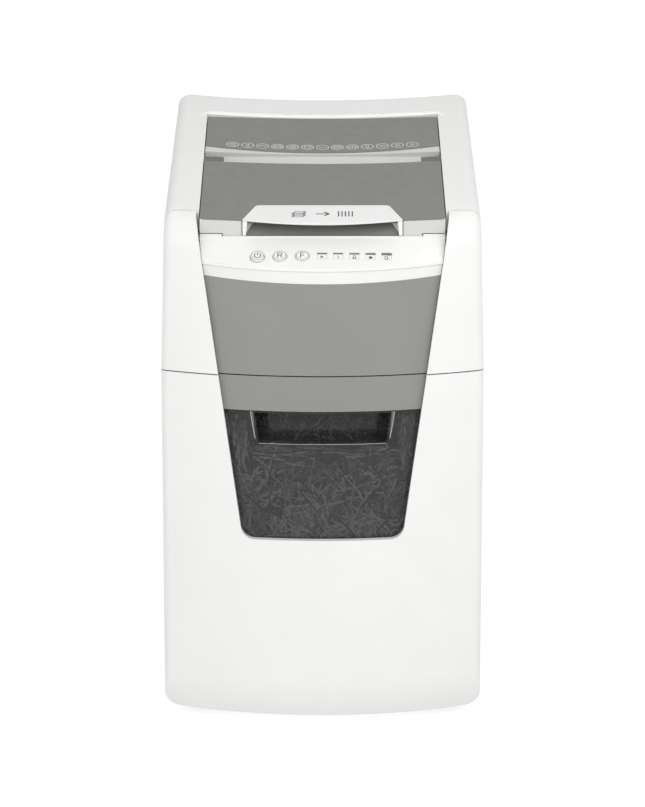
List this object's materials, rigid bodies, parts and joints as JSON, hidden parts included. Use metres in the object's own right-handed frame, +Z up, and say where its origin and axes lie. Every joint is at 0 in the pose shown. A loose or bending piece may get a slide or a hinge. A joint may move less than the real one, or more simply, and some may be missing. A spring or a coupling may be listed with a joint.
{
  "type": "paper shredder",
  "caption": "Upright office paper shredder with a sloping auto-feed lid, hand slot, button shelf and pull-out bin with a window.",
  "frame": {"origin": "on the floor under the middle of the case", "axes": "+Z up, -Y out of the front with the window, +X to the right as seen from the front"},
  "size_m": [0.343, 0.401, 0.6355],
  "materials": {
    "white_shell": "white satin moulded ABS",
    "dark_grey_cover": "warm dark grey satin ABS",
    "mid_grey_panel": "warm mid grey satin ABS",
    "pale_grey_trim": "pale grey satin ABS",
    "charcoal_trim": "charcoal matt ABS",
    "button_face": "white satin ABS with an engraved ring",
    "indicator_lens": "smoked light pipe",
    "smoked_window": "smoked transparent polycarbonate",
    "black_plastic": "black moulded plastic",
    "bin_plastic": "dark moulded polypropylene",
    "zinc_steel": "bright zinc-plated steel",
    "cutter_steel": "hardened ground steel",
    "bush_bronze": "sintered bronze",
    "gear_nylon": "natural nylon",
    "motor_paint": "black enamelled can",
    "board_green": "green solder mask",
    "roller_rubber": "soft grip rubber",
    "castor_nylon": "black nylon",
    "castor_tread": "black nylon wheels"
  },
  "bodies": {
    "case": {"left_side_panel": "white_shell", "right_side_panel": "white_shell", "back_panel": "white_shell", "head_back": "white_shell", "base_plate": "black_plastic", "left_head_cover": "white_shell", "right_head_cover": "white_shell", "top_frame": "white_shell", "front_fascia": "mid_grey_panel", "control_panel": "white_shell", "indicator_lenses": "indicator_lens", "circuit_boards": "board_green", "cabinet_guides": "zinc_steel", "side_frames": "zinc_steel", "shaft_bearings": "bush_bronze", "tie_rods": "zinc_steel", "stripper_combs": "black_plastic", "motor": "motor_paint", "motor_cradle": "zinc_steel", "head_floor": "black_plastic", "feed_tray": "black_plastic", "feed_motor": "motor_paint", "mains_inlet": "black_plastic", "case_screws": "zinc_steel"},
    "lid": {"lid_cover": "dark_grey_cover", "slot_cover": "dark_grey_cover", "slot_throat": "pale_grey_trim", "slot_ends": "charcoal_trim", "lid_bezel": "pale_grey_trim", "lid_liner": "black_plastic"},
    "lever": {"lid_lever": "white_shell"},
    "drawer": {"drawer_front": "white_shell", "drawer_band": "mid_grey_panel", "bin_window": "smoked_window", "grip_pocket": "black_plastic", "bin_tub": "bin_plastic", "drawer_runners": "zinc_steel"},
    "power_key": {"power_button": "button_face"},
    "reverse_key": {"reverse_button": "button_face"},
    "forward_key": {"forward_button": "button_face"},
    "rocker": {"mains_rocker": "black_plastic"},
    "front_cutter": {"front_cutter_shaft": "cutter_steel", "front_cutter_discs": "cutter_steel", "front_timing_gear": "gear_nylon"},
    "rear_cutter": {"rear_cutter_shaft": "cutter_steel", "rear_cutter_discs": "cutter_steel", "rear_timing_gear": "gear_nylon", "drive_gear": "gear_nylon"},
    "motor_shaft": {"motor_pinion": "cutter_steel"},
    "reduction_wheel": {"idler_gear": "gear_nylon"},
    "pickup": {"feed_shaft": "zinc_steel", "feed_rollers": "roller_rubber"},
    "castor_front_left": {"castor_yoke_front_left": "castor_nylon"},
    "wheels_front_left": {"castor_wheels_front_left": "castor_tread"},
    "castor_front_right": {"castor_yoke_front_right": "castor_nylon"},
    "wheels_front_right": {"castor_wheels_front_right": "castor_tread"},
    "castor_rear_left": {"castor_yoke_rear_left": "castor_nylon"},
    "wheels_rear_left": {"castor_wheels_rear_left": "castor_tread"},
    "castor_rear_right": {"castor_yoke_rear_right": "castor_nylon"},
    "wheels_rear_right": {"castor_wheels_rear_right": "castor_tread"}
  },
  "joints": [
    {"name": "lid_hinge", "type": "hinge", "parent": "case", "child": "lid", "pos_m": [0, 0.11891, 0.6128], "axis": [-1, 0, 0], "range_deg": [0, 80]},
    {"name": "lever_pivot", "type": "hinge", "parent": "lid", "child": "lever", "pos_m": [0, -0.12041, 0.55665], "axis": [-1, 0, 0], "range_deg": [0, 8], "stiffness_Nm_per_rad": 0.4, "springref_deg": -5.73},
    {"name": "drawer_slide", "type": "slide", "parent": "case", "child": "drawer", "axis": [0, -1, 0], "range_m": [0, 0.28]},
    {"name": "mains_rocker_pivot", "type": "hinge", "parent": "case", "child": "rocker", "pos_m": [0.07, 0.1945, 0.105], "axis": [1, 0, 0], "range_deg": [-12, 0]},
    {"name": "front_cutter_spin", "type": "hinge", "parent": "case", "child": "front_cutter", "pos_m": [0, -0.017, 0.446], "axis": [1, 0, 0], "continuous": true},
    {"name": "rear_cutter_spin", "type": "hinge", "parent": "case", "child": "rear_cutter", "pos_m": [0, 0.017, 0.446], "axis": [1, 0, 0], "continuous": true},
    {"name": "reduction_spin", "type": "hinge", "parent": "case", "child": "reduction_wheel", "pos_m": [0, 0.07443, 0.49878], "axis": [1, 0, 0], "continuous": true},
    {"name": "motor_spin", "type": "hinge", "parent": "case", "child": "motor_shaft", "pos_m": [0, 0.112, 0.452], "axis": [1, 0, 0], "continuous": true},
    {"name": "pickup_spin", "type": "hinge", "parent": "case", "child": "pickup", "pos_m": [0, -0.04062, 0.52083], "axis": [1, 0, 0], "continuous": true},
    {"name": "power_press", "type": "slide", "parent": "case", "child": "power_key", "axis": [0, -0.5643, 0.8256], "range_m": [-0.0008, 0], "stiffness_N_per_m": 600},
    {"name": "reverse_press", "type": "slide", "parent": "case", "child": "reverse_key", "axis": [0, -0.5643, 0.8256], "range_m": [-0.0008, 0], "stiffness_N_per_m": 600},
    {"name": "forward_press", "type": "slide", "parent": "case", "child": "forward_key", "axis": [0, -0.5643, 0.8256], "range_m": [-0.0008, 0], "stiffness_N_per_m": 600},
    {"name": "swivel_front_left", "type": "hinge", "parent": "case", "child": "castor_front_left", "pos_m": [-0.114, -0.095, 0.04], "axis": [0, 0, 1], "continuous": true},
    {"name": "roll_front_left", "type": "hinge", "parent": "castor_front_left", "child": "wheels_front_left", "pos_m": [-0.114, -0.088, 0.0165], "axis": [1, 0, 0], "continuous": true},
    {"name": "swivel_front_right", "type": "hinge", "parent": "case", "child": "castor_front_right", "pos_m": [0.114, -0.095, 0.04], "axis": [0, 0, 1], "continuous": true},
    {"name": "roll_front_right", "type": "hinge", "parent": "castor_front_right", "child": "wheels_front_right", "pos_m": [0.114, -0.088, 0.0165], "axis": [1, 0, 0], "continuous": true},
    {"name": "swivel_rear_left", "type": "hinge", "parent": "case", "child": "castor_rear_left", "pos_m": [-0.114, 0.145, 0.04], "axis": [0, 0, 1], "continuous": true},
    {"name": "roll_rear_left", "type": "hinge", "parent": "castor_rear_left", "child": "wheels_rear_left", "pos_m": [-0.114, 0.152, 0.0165], "axis": [1, 0, 0], "continuous": true},
    {"name": "swivel_rear_right", "type": "hinge", "parent": "case", "child": "castor_rear_right", "pos_m": [0.114, 0.145, 0.04], "axis": [0, 0, 1], "continuous": true},
    {"name": "roll_rear_right", "type": "hinge", "parent": "castor_rear_right", "child": "wheels_rear_right", "pos_m": [0.114, 0.152, 0.0165], "axis": [1, 0, 0], "continuous": true}
  ],
  "couplings": [
    {"joint": "rear_cutter_spin", "follows": "front_cutter_spin", "ratio": -1},
    {"joint": "reduction_spin", "follows": "front_cutter_spin", "ratio": 0.625},
    {"joint": "motor_spin", "follows": "front_cutter_spin", "ratio": -2.5}
  ]
}
